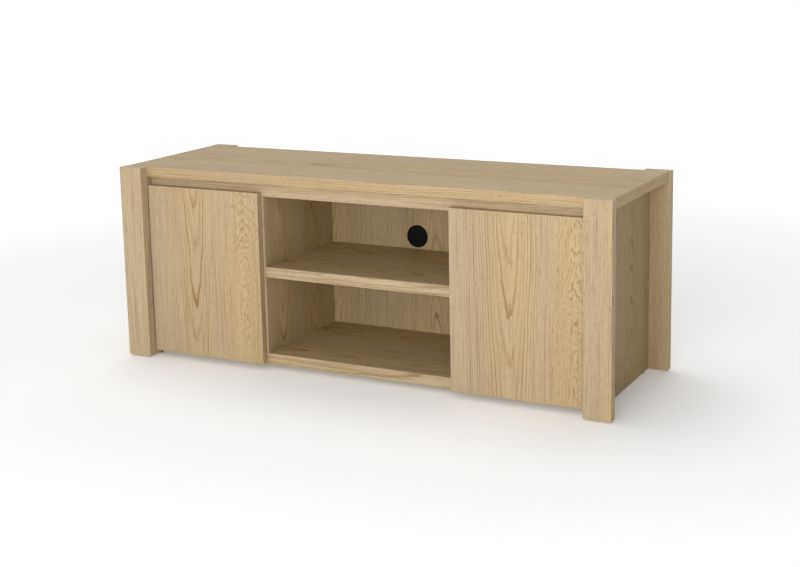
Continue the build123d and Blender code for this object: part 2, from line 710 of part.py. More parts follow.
with BuildPart() as hinge_cups_right:
    for hinge_z in HINGE_LEVELS:
        face = Plane(origin=(CUP_X, DOOR_BACK, hinge_z), x_dir=X_OUT, z_dir=Y_REAR)
        with BuildSketch(face):
            Circle(CUP_FLANGE_RADIUS)
            with Locations((-CUP_EAR_SHIFT, 0)):
                SlotOverall(2 * (CUP_EAR_SPREAD + CUP_EAR_RADIUS), 2 * CUP_EAR_RADIUS, rotation=90)
        extrude(amount=CUP_FLANGE)
        with BuildSketch(face):
            Circle(CUP_RADIUS)
        extrude(amount=-CUP_DEPTH)
        with BuildSketch(face.offset(CUP_FLANGE)):
            Circle(CUP_RADIUS - CUP_WALL)
        extrude(amount=-(CUP_DEPTH + CUP_FLANGE - CUP_WALL), mode=Mode.SUBTRACT)
        for step in (-CUP_EAR_SPREAD, CUP_EAR_SPREAD):
            mouth = (CUP_EAR_X, DOOR_BACK + CUP_FLANGE, hinge_z + step)
            drill(mouth, Y_FRONT, BACK_SCREW_RADIUS + FIT, CUP_FLANGE)
hinge_cups_right.part.label = "hinge_cups_right"
export_step(hinge_cups_right.part, "parts/hinge_cups_right.step")

with BuildPart() as hinge_links_right:
    for hinge_z in HINGE_LEVELS:
        with BuildSketch(Plane.XY.offset(hinge_z - LINK_WIDTH / 2)):
            with BuildLine():
                ThreePointArc(
                    hinge_point(*ARM_PIVOT), hinge_point(*LINK_MIDDLE), hinge_point(*LINK_TIP)
                )
                offset(amount=LINK_THICKNESS / 2)
            make_face()
            with Locations(hinge_point(*ARM_PIVOT)):
                Circle(LINK_EYE_RADIUS)
                Circle(PIVOT_RADIUS + PIVOT_CLEARANCE, mode=Mode.SUBTRACT)
        extrude(amount=LINK_WIDTH)
hinge_links_right.part.label = "hinge_links_right"
export_step(hinge_links_right.part, "parts/hinge_links_right.step")

arm_outline = [(ARM_BASE, ARM_REAR), (ARM_TOP, ARM_REAR), *ARM_CORNERS]

with BuildPart() as hinge_arms_right:
    for hinge_z in HINGE_LEVELS:
        with BuildSketch(Plane.XY.offset(hinge_z - ARM_WIDTH / 2)):
            Polygon(*[hinge_point(*corner) for corner in arm_outline], align=None)
        extrude(amount=ARM_WIDTH)
        # fork that holds the link
        with BuildSketch(Plane.XY.offset(hinge_z - ARM_SLOT / 2)):
            with Locations(hinge_point(*FORK_MIDDLE)):
                Rectangle(*FORK_CUT)
        extrude(amount=ARM_SLOT, mode=Mode.SUBTRACT)
        with BuildSketch(Plane.XY.offset(hinge_z - ARM_WIDTH / 2)):
            with Locations(hinge_point(*ARM_PIVOT)):
                Circle(PIVOT_RADIUS)
        extrude(amount=ARM_WIDTH, mode=Mode.SUBTRACT)
        # fixing slot over the plate and the adjuster hole in front of it
        fixing = (*hinge_point(ARM_TOP, ARM_SCREW_PLACE), hinge_z)
        drill(fixing, X_OUT, ARM_SCREW_HOLE_RADIUS, ARM_TOP - ARM_BASE)
        adjuster = (*hinge_point(ARM_TOP, ADJUSTER_PLACE), hinge_z)
        drill(adjuster, X_OUT, ADJUSTER_RADIUS, ADJUSTER_DEPTH)
    fillet(hinge_arms_right.edges().filter_by(Axis.Z).group_by(Axis.Y)[-1], ARM_ROUNDING)
hinge_arms_right.part.label = "hinge_arms_right"
export_step(hinge_arms_right.part, "parts/hinge_arms_right.step")

with BuildPart() as hinge_pins_right:
    for hinge_z in HINGE_LEVELS:
        with BuildSketch(Plane.XY.offset(hinge_z - ARM_WIDTH / 2)):
            with Locations(hinge_point(*ARM_PIVOT)):
                Circle(PIVOT_RADIUS)
        extrude(amount=ARM_WIDTH)
hinge_pins_right.part.label = "hinge_pins_right"
export_step(hinge_pins_right.part, "parts/hinge_pins_right.step")

with BuildPart() as hinge_plates_right:
    for hinge_z in HINGE_LEVELS:
        with BuildSketch(Plane.XY.offset(hinge_z - PLATE_BLOCK_WIDTH / 2)):
            with Locations(hinge_point(ARM_BASE / 2, PLATE_BLOCK_PLACE)):
                Rectangle(ARM_BASE, PLATE_BLOCK_LENGTH)
        extrude(amount=PLATE_BLOCK_WIDTH)
        wall = Plane(
            origin=(LEG_INNER, DOOR_FRONT + PLATE_SCREW_DEPTH, hinge_z), x_dir=Y_REAR, z_dir=X_IN
        )
        with BuildSketch(wall):
            SlotOverall(
                2 * (PLATE_SCREW_SPREAD + PLATE_WING_OVERHANG), PLATE_WING_WIDTH, rotation=90
            )
        extrude(amount=PLATE_WING)
        fixing = (*hinge_point(ARM_BASE, ARM_SCREW_PLACE), hinge_z)
        drill(fixing, X_OUT, ARM_SCREW_HOLE_RADIUS, PLATE_THREAD_DEPTH)
        for step in (-PLATE_SCREW_SPREAD, PLATE_SCREW_SPREAD):
            mouth = (LEG_INNER - PLATE_WING, DOOR_FRONT + PLATE_SCREW_DEPTH, hinge_z + step)
            drill(mouth, X_OUT, BACK_SCREW_RADIUS + FIT, PLATE_WING)
hinge_plates_right.part.label = "hinge_plates_right"
export_step(hinge_plates_right.part, "parts/hinge_plates_right.step")


def pan_screw(shank_radius, head_radius, head_height, length):
    """A pan-head screw standing on its point side, head above Z 0 and shank below."""
    with BuildPart() as screw:
        with BuildSketch(Plane.XY):
            Circle(head_radius)
        extrude(amount=head_height)
        fillet(screw.edges().sort_by(Axis.Z)[-1], head_height * PAN_ROUNDING)
        with BuildSketch(Plane.XY):
            Circle(shank_radius)
        extrude(amount=-length)
        chamfer(screw.edges().sort_by(Axis.Z)[0], shank_radius * PAN_POINT)
        # cross recess for the driver
        with BuildSketch(Plane.XY.offset(head_height)):
            Rectangle(head_radius * CROSS_LENGTH, head_radius * CROSS_WIDTH)
            Rectangle(head_radius * CROSS_WIDTH, head_radius * CROSS_LENGTH)
        extrude(amount=-head_height * CROSS_DEPTH, mode=Mode.SUBTRACT)
    return screw.part


small_screw = pan_screw(
    BACK_SCREW_RADIUS, SMALL_HEAD_RADIUS, SMALL_HEAD_HEIGHT, SMALL_SCREW_LENGTH
)
arm_screw = pan_screw(
    ARM_SCREW_RADIUS, ARM_SCREW_HEAD_RADIUS, ARM_SCREW_HEAD_HEIGHT, ARM_SCREW_LENGTH
)
back_screw = pan_screw(
    BACK_SCREW_RADIUS,
    BACK_SCREW_HEAD_RADIUS,
    BACK_SCREW_HEAD_HEIGHT,
    BACK_THICKNESS + BACK_SCREW_BITE,
)
rail_screw = pan_screw(
    BACK_SCREW_RADIUS,
    BACK_SCREW_HEAD_RADIUS,
    BACK_SCREW_HEAD_HEIGHT,
    BACK_THICKNESS + RAIL_SCREW_BITE,
)

with BuildPart() as hinge_plate_screws_right:
    for hinge_z in HINGE_LEVELS:
        for step in (-PLATE_SCREW_SPREAD, PLATE_SCREW_SPREAD):
            seat = (LEG_INNER - PLATE_WING, DOOR_FRONT + PLATE_SCREW_DEPTH, hinge_z + step)
            with Locations(Plane(origin=seat, z_dir=X_IN)):
                add(small_screw)
hinge_plate_screws_right.part.label = "hinge_plate_screws_right"
export_step(hinge_plate_screws_right.part, "parts/hinge_plate_screws_right.step")

with BuildPart() as hinge_arm_screws_right:
    for hinge_z in HINGE_LEVELS:
        seat = (*hinge_point(ARM_TOP, ARM_SCREW_PLACE), hinge_z)
        with Locations(Plane(origin=seat, z_dir=X_IN)):
            add(arm_screw)
hinge_arm_screws_right.part.label = "hinge_arm_screws_right"
export_step(hinge_arm_screws_right.part, "parts/hinge_arm_screws_right.step")

with BuildPart() as hinge_cup_screws_right:
    for hinge_z in HINGE_LEVELS:
        for step in (-CUP_EAR_SPREAD, CUP_EAR_SPREAD):
            seat = (CUP_EAR_X, DOOR_BACK + CUP_FLANGE, hinge_z + step)
            with Locations(Plane(origin=seat, z_dir=Y_REAR)):
                add(small_screw)
hinge_cup_screws_right.part.label = "hinge_cup_screws_right"
export_step(hinge_cup_screws_right.part, "parts/hinge_cup_screws_right.step")

hinge_sets = {
    "hinge_cups_left": hinge_cups_right.part,
    "hinge_links_left": hinge_links_right.part,
    "hinge_arms_left": hinge_arms_right.part,
    "hinge_pins_left": hinge_pins_right.part,
    "hinge_plates_left": hinge_plates_right.part,
    "hinge_plate_screws_left": hinge_plate_screws_right.part,
    "hinge_arm_screws_left": hinge_arm_screws_right.part,
    "hinge_cup_screws_left": hinge_cup_screws_right.part,
}
for name, right_piece in hinge_sets.items():
    with BuildPart() as left_piece:
        mirror(right_piece, about=Plane.YZ)
    left_piece.part.label = name
    export_step(left_piece.part, f"parts/{name}.step")

# ---------------------------------------------------------------- cam fittings, dowels and screws
all_cam_joints = both(
    side_to_top
    + side_to_front_leg
    + bottom_to_side
    + partition_to_top
    + front_rail_to_side
    + rear_rail_to_side
)
all_peg_joints = both(
    side_top_pegs
    + front_leg_pegs
    + rear_leg_pegs
    + top_front_pegs
    + top_rear_pegs
    + bottom_side_pegs
    + partition_top_pegs
    + partition_bottom_pegs
    + shelf_end_pegs
    + front_rail_pegs
    + rear_rail_pegs
)

bolt_profile = [
    (0, -BOLT_BITE),
    (BOLT_THREAD_RADIUS, -BOLT_BITE),
    (BOLT_THREAD_RADIUS, 0),
    (BOLT_RADIUS, 0),
    (BOLT_RADIUS, CAM_SETBACK - BOLT_NECK_LENGTH - 2 * BOLT_TAPER - BOLT_HEAD_SHIFT),
    (BOLT_NECK_RADIUS, CAM_SETBACK - BOLT_NECK_LENGTH - BOLT_TAPER - BOLT_HEAD_SHIFT),
    (BOLT_NECK_RADIUS, CAM_SETBACK - BOLT_TAPER - BOLT_HEAD_SHIFT),
    (BOLT_RADIUS, CAM_SETBACK - BOLT_HEAD_SHIFT),
    (BOLT_RADIUS - BOLT_TAPER, CAM_SETBACK + BOLT_HEAD_REACH),
    (0, CAM_SETBACK + BOLT_HEAD_REACH),
]
with BuildPart() as bolt:
    with BuildSketch(Plane.XZ):
        with BuildLine():
            Polyline(*bolt_profile, close=True)
        make_face()
    revolve(axis=Axis.Z)

with BuildPart() as cam_bolts:
    for joint in all_cam_joints:
        with Locations(Plane(origin=joint.at, z_dir=joint.into)):
            add(bolt.part)
cam_bolts.part.label = "cam_bolts"
export_step(cam_bolts.part, "parts/cam_bolts.step")


def cam_disc(cover):
    """A cam, its face at Z 0, its body below and the bolt's pocket opening towards -X."""
    with BuildPart() as cam:
        with BuildSketch(Plane.XY):
            Circle(CAM_RADIUS)
        extrude(amount=-(cover + CAM_BELOW_BOLT))
        chamfer(cam.edges().sort_by(Axis.Z)[-1], CAM_EDGE_BREAK)
        with BuildSketch(Plane.YZ.offset(-CAM_RADIUS - HOLE_SPARE)):
            with Locations((0, -cover)):
                Circle(BOLT_RADIUS + CAM_POCKET_SPARE)
        extrude(amount=CAM_RADIUS + HOLE_SPARE + CAM_POCKET_REACH, mode=Mode.SUBTRACT)
        # cross slot for the driver
        with BuildSketch(Plane.XY):
            Rectangle(DRIVER_SLOT_LENGTH, DRIVER_SLOT_WIDTH)
            Rectangle(DRIVER_SLOT_WIDTH, DRIVER_SLOT_LENGTH)
        extrude(amount=-DRIVER_SLOT_DEPTH, mode=Mode.SUBTRACT)
    return cam.part


thin_board_cam = cam_disc(BOARD / 2)
bottom_cam = cam_disc(BOTTOM_BOLT_LEVEL - BOTTOM_UNDER)

with BuildPart() as cam_discs:
    for joint in all_cam_joints:
        centre = along(joint.at, joint.into, CAM_SETBACK)
        seat = Plane(
            origin=along(centre, joint.face, joint.cover), x_dir=joint.into, z_dir=joint.face
        )
        with Locations(seat):
            add(thin_board_cam if joint.cover == BOARD / 2 else bottom_cam)
cam_discs.part.label = "cam_discs"
export_step(cam_discs.part, "parts/cam_discs.step")

with BuildPart() as dowel:
    with BuildSketch(Plane.XY.offset(-DOWEL_SHORT)):
        Circle(DOWEL_RADIUS)
    extrude(amount=DOWEL_SHORT + DOWEL_LONG)
    chamfer(dowel.edges().filter_by(GeomType.CIRCLE), DOWEL_EDGE_BREAK)

with BuildPart() as dowels:
    for joint in all_peg_joints:
        with Locations(Plane(origin=joint.at, z_dir=joint.into)):
            add(dowel.part)
dowels.part.label = "dowels"
export_step(dowels.part, "parts/dowels.step")

screw_profile = [
    (0, 0),
    (SCREW_HEAD_RADIUS, 0),
    (SCREW_SHANK_RADIUS, SCREW_HEAD_HEIGHT),
    (SCREW_SHANK_RADIUS, BOARD - HOLE_SPARE),
    (SCREW_THREAD_RADIUS, BOARD),
    (SCREW_THREAD_RADIUS, SCREW_LENGTH - SCREW_POINT_LENGTH),
    (SCREW_POINT_RADIUS, SCREW_LENGTH),
    (0, SCREW_LENGTH),
]
with BuildPart() as long_screw:
    with BuildSketch(Plane.XZ):
        with BuildLine():
            Polyline(*screw_profile, close=True)
        make_face()
    revolve(axis=Axis.Z)
    # hexagon socket in the head
    with BuildSketch(Plane.XY):
        RegularPolygon(SOCKET_RADIUS, 6)
    extrude(amount=SOCKET_DEPTH, mode=Mode.SUBTRACT)

with BuildPart() as panel_screws:
    for joint in both(bottom_screws + shelf_screws + rear_leg_screws):
        with Locations(Plane(origin=joint.at, z_dir=joint.into)):
            add(long_screw.part)
panel_screws.part.label = "panel_screws"
export_step(panel_screws.part, "parts/panel_screws.step")

with BuildPart() as back_panel_screws:
    for joint in both(partition_back_screws):
        with Locations(Plane(origin=joint.at, z_dir=reversed_way(joint.into))):
            add(back_screw)
    for joint in both(rail_back_screws):
        with Locations(Plane(origin=joint.at, z_dir=reversed_way(joint.into))):
            add(rail_screw)
back_panel_screws.part.label = "back_panel_screws"
export_step(back_panel_screws.part, "parts/back_panel_screws.step")

# ---------------------------------------------------------------- door bumpers and floor glides
BUMPER_X = DOOR_FREE_EDGE + BUMPER_INSET

with BuildPart() as door_bumpers:
    for side_sign in (-1, 1):
        for bumper_z in (DOOR_BOTTOM + BUMPER_RISE, DOOR_TOP - BUMPER_DROP):
            seat = (side_sign * BUMPER_X, CARCASS_FRONT, bumper_z)
            with BuildSketch(Plane(origin=seat, x_dir=X_OUT, z_dir=Y_FRONT)):
                Circle(BUMPER_RADIUS)
            extrude(amount=DOOR_REVEAL - FIT)
    fillet(door_bumpers.edges().filter_by(GeomType.CIRCLE).group_by(Axis.Y)[0], BUMPER_ROUNDING)
door_bumpers.part.label = "door_bumpers"
export_step(door_bumpers.part, "parts/door_bumpers.step")

with BuildPart() as floor_glides:
    for side_sign in (-1, 1):
        for glide_y in (-GLIDE_Y, GLIDE_Y):
            with BuildSketch(Plane.XY):
                with Locations((side_sign * SIDE_MIDDLE, glide_y)):
                    Circle(GLIDE_RADIUS)
            extrude(amount=GLIDE_HEIGHT)
            with BuildSketch(Plane.XY.offset(GLIDE_HEIGHT)):
                with Locations((side_sign * SIDE_MIDDLE, glide_y)):
                    Circle(GLIDE_NAIL_RADIUS)
            extrude(amount=GLIDE_NAIL_LENGTH)
    fillet(floor_glides.edges().filter_by(GeomType.CIRCLE).group_by(Axis.Z)[0], GLIDE_ROUNDING)
floor_glides.part.label = "floor_glides"
export_step(floor_glides.part, "parts/floor_glides.step")
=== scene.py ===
"""The look of the media cabinet: oak veneer boards, black cable port, plated fittings."""
import json
import math
from collections import namedtuple

import bpy
from mathutils import Matrix, Vector


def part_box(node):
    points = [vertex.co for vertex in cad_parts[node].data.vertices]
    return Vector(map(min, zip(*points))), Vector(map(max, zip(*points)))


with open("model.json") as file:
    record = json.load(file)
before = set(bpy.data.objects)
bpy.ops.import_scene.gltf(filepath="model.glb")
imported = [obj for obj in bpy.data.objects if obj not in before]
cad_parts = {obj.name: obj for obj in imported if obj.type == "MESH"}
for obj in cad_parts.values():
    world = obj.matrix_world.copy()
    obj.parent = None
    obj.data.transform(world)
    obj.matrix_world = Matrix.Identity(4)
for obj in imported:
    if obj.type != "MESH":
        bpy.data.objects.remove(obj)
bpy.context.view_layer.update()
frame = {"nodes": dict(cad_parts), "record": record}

MM = 0.001
NODES = frame["nodes"]

AXES = {"X": 0, "Y": 1, "Z": 2}


def linear(red, green, blue):
    """Linear colour from the 0-255 values seen on a screen."""
    values = []
    for value in (red, green, blue):
        share = value / 255
        values.append(share / 12.92 if share <= 0.04045 else ((share + 0.055) / 1.055) ** 2.4)
    return (*values, 1.0)


# ------------------------------------------------------------------ node helpers
class Graph:
    """The node tree of a material or a world, with short calls for the nodes used here."""

    def __init__(self, owner, shader="Principled BSDF"):
        owner.use_nodes = True
        self.owner = owner
        self.tree = owner.node_tree
        self.shader = self.tree.nodes[shader]

    def node(self, kind, inputs=(), **settings):
        made = self.tree.nodes.new(kind)
        for key, value in settings.items():
            setattr(made, key, value)
        for key, value in dict(inputs).items():
            self.feed(made.inputs[key], value)
        return made

    def feed(self, socket, value):
        if isinstance(value, bpy.types.NodeSocket):
            self.tree.links.new(value, socket)
        else:
            socket.default_value = value

    def math(self, operation, *values, clamp=False):
        made = self.tree.nodes.new("ShaderNodeMath")
        made.operation = operation
        made.use_clamp = clamp
        for index, value in enumerate(values):
            self.feed(made.inputs[index], value)
        return made.outputs[0]

    def mix(self, share, first, second, blend="MIX"):
        made = self.tree.nodes.new("ShaderNodeMix")
        made.data_type = "RGBA"
        made.blend_type = blend
        self.feed(made.inputs["Factor"], share)
        self.feed(made.inputs["A"], first)
        self.feed(made.inputs["B"], second)
        return made.outputs["Result"]

    def remap(self, value, low, high, to_low=0.0, to_high=1.0, smooth=True):
        made = self.tree.nodes.new("ShaderNodeMapRange")
        made.interpolation_type = "SMOOTHSTEP" if smooth else "LINEAR"
        for key, given in (
            ("Value", value),
            ("From Min", low),
            ("From Max", high),
            ("To Min", to_low),
            ("To Max", to_high),
        ):
            self.feed(made.inputs[key], given)
        return made.outputs["Result"]

    def noise(self, vector, scale, detail=2.0, roughness=0.5, distortion=0.0):
        made = self.node(
            "ShaderNodeTexNoise",
            {
                "Vector": vector,
                "Scale": scale,
                "Detail": detail,
                "Roughness": roughness,
                "Distortion": distortion,
            },
        )
        return made.outputs["Fac"]

    def scaled(self, axes, pulls):
        """A place with each axis multiplied by its pull."""
        return self.vector(*[self.math("MULTIPLY", axes[i], pulls[i]) for i in range(3)])

    def fix(self, socket, value):
        """Set one of the shader's own sockets to a plain value."""
        self.shader.inputs[socket].default_value = value

    def vector(self, x, y, z):
        return self.node("ShaderNodeCombineXYZ", {"X": x, "Y": y, "Z": z}).outputs["Vector"]

    def random(self, value, salt):
        seeded = self.math("ADD", value, salt)
        made = self.node("ShaderNodeTexWhiteNoise", {"W": seeded}, noise_dimensions="1D")
        return made.outputs["Value"]

    def object_axes(self):
        where = self.node("ShaderNodeTexCoord").outputs["Object"]
        return self.node("ShaderNodeSeparateXYZ", {"Vector": where}).outputs

    def bump(self, height, strength, distance):
        made = self.node(
            "ShaderNodeBump", {"Height": height, "Strength": strength, "Distance": distance}
        )
        self.feed(self.shader.inputs["Normal"], made.outputs["Normal"])


def new_material(name):
    """The graph of a new material."""
    return Graph(bpy.data.materials.new(name))


# ------------------------------------------------------------------ oak veneer
OAK_YELLOW = linear(186, 164, 122)
OAK_GREY = linear(181, 162, 129)
OAK_LINE = linear(124, 95, 52)
OAK_ARCH = linear(142, 106, 54)
OAK_PORE = linear(100, 78, 48)
OAK_RAY = linear(198, 179, 143)
EDGE_REACH = 1.6 * MM

# the tree under a board: how far its axis sways and its rings swell (m), how fast the sway, the
# swelling and the ripple of the rings change along and across the grain, and the step that
# sets the leaves' noise apart
SWAY = 0.022
SWAY_PACE = 3.0
SWELL = 0.012
SWELL_PACE = (4.0, 10.0)
RIPPLE_PACE = (26.0, 130.0)
LEAF_STEP = 3.7

# fibres and pores: how much they are drawn out along the grain, and how fine they are
ACROSS_PULL = 24.0
PORE_PULL = 1.0
FIBRE_PULL = 0.28
FIBRE_SCALE = 26.0
STREAK_SCALE = 15.0
PORE_SCALE = 58.0
PORE_CUT = 0.64
PORE_SOFTNESS = 0.07
PATCH_PACE = (1.8, 8.0)

# shares of each colour laid over the ground, and the sheen of the oiled surface
RAY_SHARE = 0.45
FINE_LINE_SHARE = 0.50
PORE_SHARE = 0.70
WORN_SHARE = 0.5
OAK_SPECULAR = 0.14
OAK_BUMP = 0.30
OAK_RELIEF = 0.12 * MM

# a leaf of veneer: end is the share of the board's width where it stops, heart the place of the
# tree's heart across the leaf, depth how far under the face the heart lies (mm), rise how much
# nearer the heart comes along the grain (mm per m), ring the growth ring (mm), wave its ripple (mm)
Leaf = namedtuple("Leaf", "end heart depth rise ring wave")


def edge_mask(g, axes, low, high):
    """1 on the arrises of a board and 0 on its faces, from the distance to its two nearest sides."""
    gaps = []
    for index in range(3):
        from_low = g.math("SUBTRACT", axes[index], low[index])
        from_high = g.math("SUBTRACT", high[index], axes[index])
        gaps.append(g.math("MINIMUM", from_low, from_high))
    least = g.math("MINIMUM", gaps[0], gaps[1])
    most = g.math("MAXIMUM", gaps[0], gaps[1])
    second = g.math("MAXIMUM", least, g.math("MINIMUM", most, gaps[2]))
    return g.remap(second, 0.0, EDGE_REACH, 1.0, 0.0)


def leaf_values(g, side, start, width, leaves):
    """Heart place, depth, rise, ring, wave and number of the leaf that a point lies on."""
    chosen = None
    begin = 0.0
    for number, leaf in enumerate(leaves):
        heart = start + width * (begin + (leaf.end - begin) * leaf.heart)
        sizes = [size * MM for size in (leaf.depth, leaf.rise, leaf.ring, leaf.wave)]
        values = [heart, *sizes, float(number)]
        if chosen is None:
            chosen = values
        else:
            past = g.math("GREATER_THAN", side, start + width * begin)
            chosen = [
                g.math("MULTIPLY_ADD", past, g.math("SUBTRACT", after, before), before)
                for before, after in zip(chosen, values)
            ]
        begin = leaf.end
    return chosen


def oak(node, grain, across, leaves, seed, painted_shade_tint=(1.0, 1.0, 1.0)):
    """Veneer on one board: cathedral arches and straight lines from rings cut along a tree's axis.

    grain and across are the board's axes that the fibres run along and lie side by side on.
    """
    g = new_material(f"oak_{node}")
    low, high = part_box(node)
    axes = g.object_axes()
    along = axes[AXES[grain]]
    side = axes[AXES[across]]
    thick_axis = ({"X", "Y", "Z"} - {grain, across}).pop()
    thick = axes[AXES[thick_axis]]
    start, width = low[AXES[across]], high[AXES[across]] - low[AXES[across]]
    middle = (low[AXES[grain]] + high[AXES[grain]]) / 2
    face = (low[AXES[thick_axis]] + high[AXES[thick_axis]]) / 2
    heart, depth, rise, ring, wave, leaf_number = leaf_values(g, side, start, width, leaves)

    # slow sway of the tree, swelling of its rings and the ripple of each ring
    salt = g.math("MULTIPLY_ADD", leaf_number, LEAF_STEP, float(seed))
    run = g.math("SUBTRACT", along, middle)

    def over_face(pace):
        return g.vector(g.math("MULTIPLY", run, pace[0]), g.math("MULTIPLY", side, pace[1]), salt)

    sway_at = g.vector(g.math("MULTIPLY", run, SWAY_PACE), salt, 0.0)
    sway = g.math("SUBTRACT", g.noise(sway_at, 1.0, 2.0), 0.5)
    swell_at = over_face(SWELL_PACE)
    swell = g.math("SUBTRACT", g.noise(swell_at, 1.0, 2.0, 0.55), 0.5)
    ripple = g.math("SUBTRACT", g.noise(over_face(RIPPLE_PACE), 1.0, 2.0, 0.6), 0.5)

    # going through the board moves both ways across the tree, which draws fine lines on its edges
    through = g.math("SUBTRACT", thick, face)
    aside = g.math("SUBTRACT", side, heart)
    aside = g.math("MULTIPLY_ADD", sway, SWAY, aside)
    aside = g.math("ADD", aside, through)
    below = g.math("MULTIPLY_ADD", run, rise, depth)
    below = g.math("MULTIPLY_ADD", swell, SWELL, below)
    below = g.math("ADD", below, through)
    reach = g.math("MULTIPLY_ADD", aside, aside, g.math("MULTIPLY", below, below))
    reach = g.math("SQRT", reach)
    reach = g.math("MULTIPLY_ADD", ripple, wave, reach)
    count = g.math("DIVIDE", reach, ring)
    phase = g.math("FRACT", count)
    ring_number = g.math("FLOOR", count)

    # each ring darkens slowly to its late wood and ends sharply
    late = g.remap(phase, 0.60, 0.92)
    close = g.remap(phase, 0.94, 1.0, 1.0, 0.0)
    vigour = g.remap(g.random(ring_number, seed + 0.3), 0.2, 0.8, 0.45, 1.0, smooth=False)
    line = g.math("MULTIPLY", g.math("MULTIPLY", late, close), vigour)
    near_heart = g.remap(reach, 0.10, 0.03, 0.0, 1.0)

    # fibres, open pores and pale rays, all drawn out along the grain
    stretched = g.scaled(axes, [PORE_PULL if axis == grain else ACROSS_PULL for axis in "XYZ"])
    drawn_out = g.scaled(axes, [FIBRE_PULL if axis == grain else ACROSS_PULL for axis in "XYZ"])
    fibre = g.noise(drawn_out, FIBRE_SCALE, 3.0, 0.60)
    streak = g.noise(drawn_out, STREAK_SCALE, 3.0, 0.62)
    pore_noise = g.noise(stretched, PORE_SCALE, 2.0, 0.7)
    early = g.remap(phase, 0.02, 0.45, 1.0, 0.2)
    pore_cut = g.math("MULTIPLY_ADD", early, -PORE_SOFTNESS, PORE_CUT)
    pore = g.remap(pore_noise, pore_cut, g.math("ADD", pore_cut, PORE_SOFTNESS))
    patch = g.noise(over_face(PATCH_PACE), 1.0, 2.0)

    colour = g.mix(near_heart, OAK_GREY, OAK_YELLOW)
    colour = g.mix(g.math("MULTIPLY", g.remap(fibre, 0.42, 0.70), RAY_SHARE), colour, OAK_RAY)
    fine_share = g.math("MULTIPLY_ADD", near_heart, -0.15, FINE_LINE_SHARE)
    fine_line = g.math("MULTIPLY", g.remap(streak, 0.50, 0.70), fine_share)
    colour = g.mix(fine_line, colour, OAK_LINE)
    ring_share = g.math("MULTIPLY_ADD", near_heart, 0.40, 0.48)
    ring_colour = g.mix(near_heart, OAK_LINE, OAK_ARCH)
    colour = g.mix(g.math("MULTIPLY", line, ring_share), colour, ring_colour)
    colour = g.mix(g.math("MULTIPLY", pore, PORE_SHARE), colour, OAK_PORE)
    leaf_tone = g.remap(g.random(leaf_number, float(seed)), 0.0, 1.0, 0.96, 1.03, smooth=False)
    shade = g.math("MULTIPLY", leaf_tone, g.remap(patch, 0.3, 0.7, 0.96, 1.04))
    # the random tone of each leaf and patch, times the board's tint, which is painted shade where it is
    # given
    tint = g.vector(*[g.math("MULTIPLY", shade, share) for share in painted_shade_tint])
    colour = g.mix(1.0, colour, tint, "MULTIPLY")
    worn = g.math("MULTIPLY", edge_mask(g, axes, low, high), g.remap(fibre, 0.3, 0.7, 0.25, 0.75))
    colour = g.mix(g.math("MULTIPLY", worn, WORN_SHARE), colour, OAK_RAY)
    g.feed(g.shader.inputs["Base Color"], colour)

    roughness = g.math("MULTIPLY_ADD", pore, 0.16, g.remap(fibre, 0.3, 0.7, 0.46, 0.56))
    roughness = g.math("MULTIPLY_ADD", line, -0.05, roughness)
    g.feed(g.shader.inputs["Roughness"], roughness)
    g.fix("Specular IOR Level", OAK_SPECULAR)
    height = g.math("MULTIPLY_ADD", pore, -1.0, g.math("MULTIPLY", fibre, 0.35))
    height = g.math("MULTIPLY_ADD", line, 0.18, height)
    g.bump(height, OAK_BUMP, OAK_RELIEF)
    return g.owner


# ------------------------------------------------------------------ plastics and metals
MOTTLE_SCALE = 60.0
PLASTIC_SPECULAR = 0.12
BRUSH_SCALE = 900.0
CLOUD_SCALE = 95.0
SILICONE_CLOUD_SCALE = 240.0
SILICONE_SCATTER = 0.3
SILICONE_SCATTER_RADIUS = (2 * MM, 2 * MM, 2 * MM)
BEECH_PULLS = (9.0, 9.0, 1.0)
FLECK_SCALE = 180.0


def moulded_plastic(name, dark, light, roughness, grain_scale):
    """Spark-textured moulded plastic with a slight mottle."""
    g = new_material(name)
    where = g.node("ShaderNodeTexCoord").outputs["Object"]
    mottle = g.noise(where, MOTTLE_SCALE, 3.0)
    spark = g.noise(where, grain_scale, 2.0, 0.7)
    g.feed(g.shader.inputs["Base Color"], g.mix(g.remap(mottle, 0.3, 0.7), dark, light))
    low, high = roughness
    g.feed(g.shader.inputs["Roughness"], g.remap(spark, 0.3, 0.7, low, high))
    g.fix("Specular IOR Level", PLASTIC_SPECULAR)
    g.bump(spark, 0.35, 0.06 * MM)
    return g.owner


def plated_metal(name, dark, light, roughness, streak_axis, streak):
    """Plated or cast metal with drawn streaks and a little dulling."""
    g = new_material(name)
    axes = g.object_axes()
    stretched = g.scaled(axes, [streak if axis == streak_axis else 1.0 for axis in "XYZ"])
    brushed = g.noise(stretched, BRUSH_SCALE, 3.0, 0.65)
    cloud = g.noise(g.vector(*axes), CLOUD_SCALE, 3.0)
    colour = g.mix(g.remap(cloud, 0.3, 0.7), dark, light)
    colour = g.mix(g.math("MULTIPLY", brushed, 0.25), colour, dark)
    g.feed(g.shader.inputs["Base Color"], colour)
    low, high = roughness
    dulled = g.math("MULTIPLY_ADD", cloud, 0.08, g.remap(brushed, 0.3, 0.7, low, high))
    g.feed(g.shader.inputs["Roughness"], dulled)
    g.fix("Metallic", 1.0)
    g.bump(brushed, 0.12, 0.03 * MM)
    return g.owner


